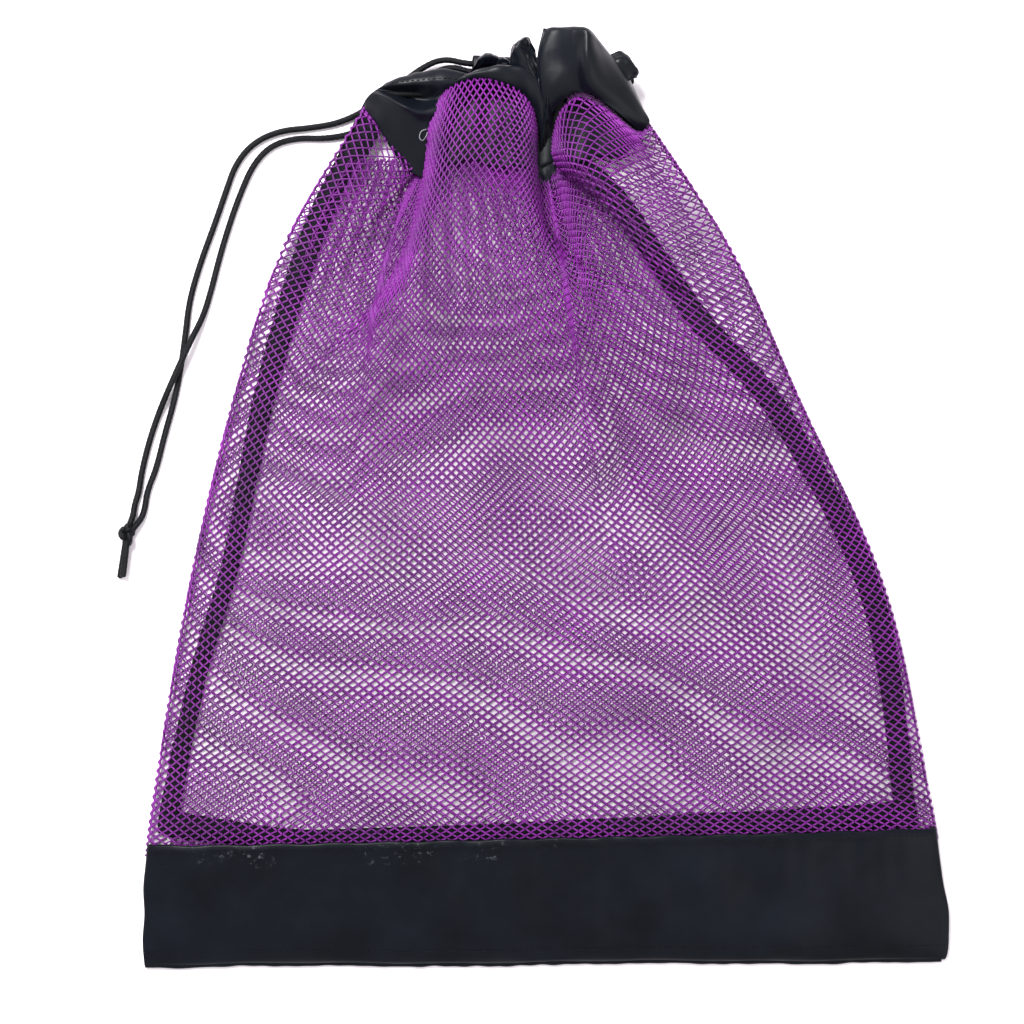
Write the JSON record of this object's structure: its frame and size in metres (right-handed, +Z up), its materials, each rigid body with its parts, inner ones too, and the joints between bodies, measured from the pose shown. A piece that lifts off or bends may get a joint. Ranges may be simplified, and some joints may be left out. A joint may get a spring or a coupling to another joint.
{
  "type": "mesh ball bag",
  "caption": "Drawstring mesh ball bag lying flat, with a solid base band, a gathered casing drawn closed, and a knotted cord that slides as the mouth opens.",
  "frame": {"origin": "on the floor, under the middle of the bag without its free cord", "axes": "+X to the right, +Y from the base to the mouth, +Z up off the floor"},
  "size_m": [0.4718, 0.53, 0.0448],
  "materials": {
    "mesh": "knotless diamond net of bright purple polyester yarn",
    "nylon": "plain woven black nylon with a soft sheen",
    "tape": "black woven binding tape",
    "thread": "black sewing thread",
    "cord": "black braided cord"
  },
  "bodies": {
    "root": {"back_mesh_panel": "mesh", "base_panel_back": "nylon", "base_panel_front": "nylon", "base_bottom_seam": "nylon", "base_inner_tape": "tape", "base_top_stitching": "thread", "base_hem_stitching": "thread", "left_seam_tape": "tape", "right_seam_tape": "tape", "casing_back": "nylon", "cord_exit_sleeve": "nylon", "exit_bartack": "thread", "drawcord_back_run": "cord"},
    "front_panel": {"front_mesh_panel": "mesh", "casing_front_left": "nylon", "casing_front_middle": "nylon", "casing_front_right": "nylon", "casing_end_tab": "nylon", "drawcord_front_run": "cord"},
    "drawcord": {"drawcord_strand_a": "cord", "drawcord_strand_b": "cord", "drawcord_tail_a": "cord", "drawcord_tail_b": "cord", "drawcord_knot": "cord"}
  },
  "joints": [
    {"name": "mouth_opening", "type": "hinge", "parent": "root", "child": "front_panel", "pos_m": [0, -0.191, 0.0148], "axis": [0.9998, 0.022, 0], "range_deg": [0, 12]},
    {"name": "drawcord_slide", "type": "slide", "parent": "root", "child": "drawcord", "axis": [1, 0, 0], "range_m": [0, 0.008]}
  ],
  "couplings": [
    {"joint": "drawcord_slide", "follows": "mouth_opening", "m_per_rad": 0.0382}
  ]
}
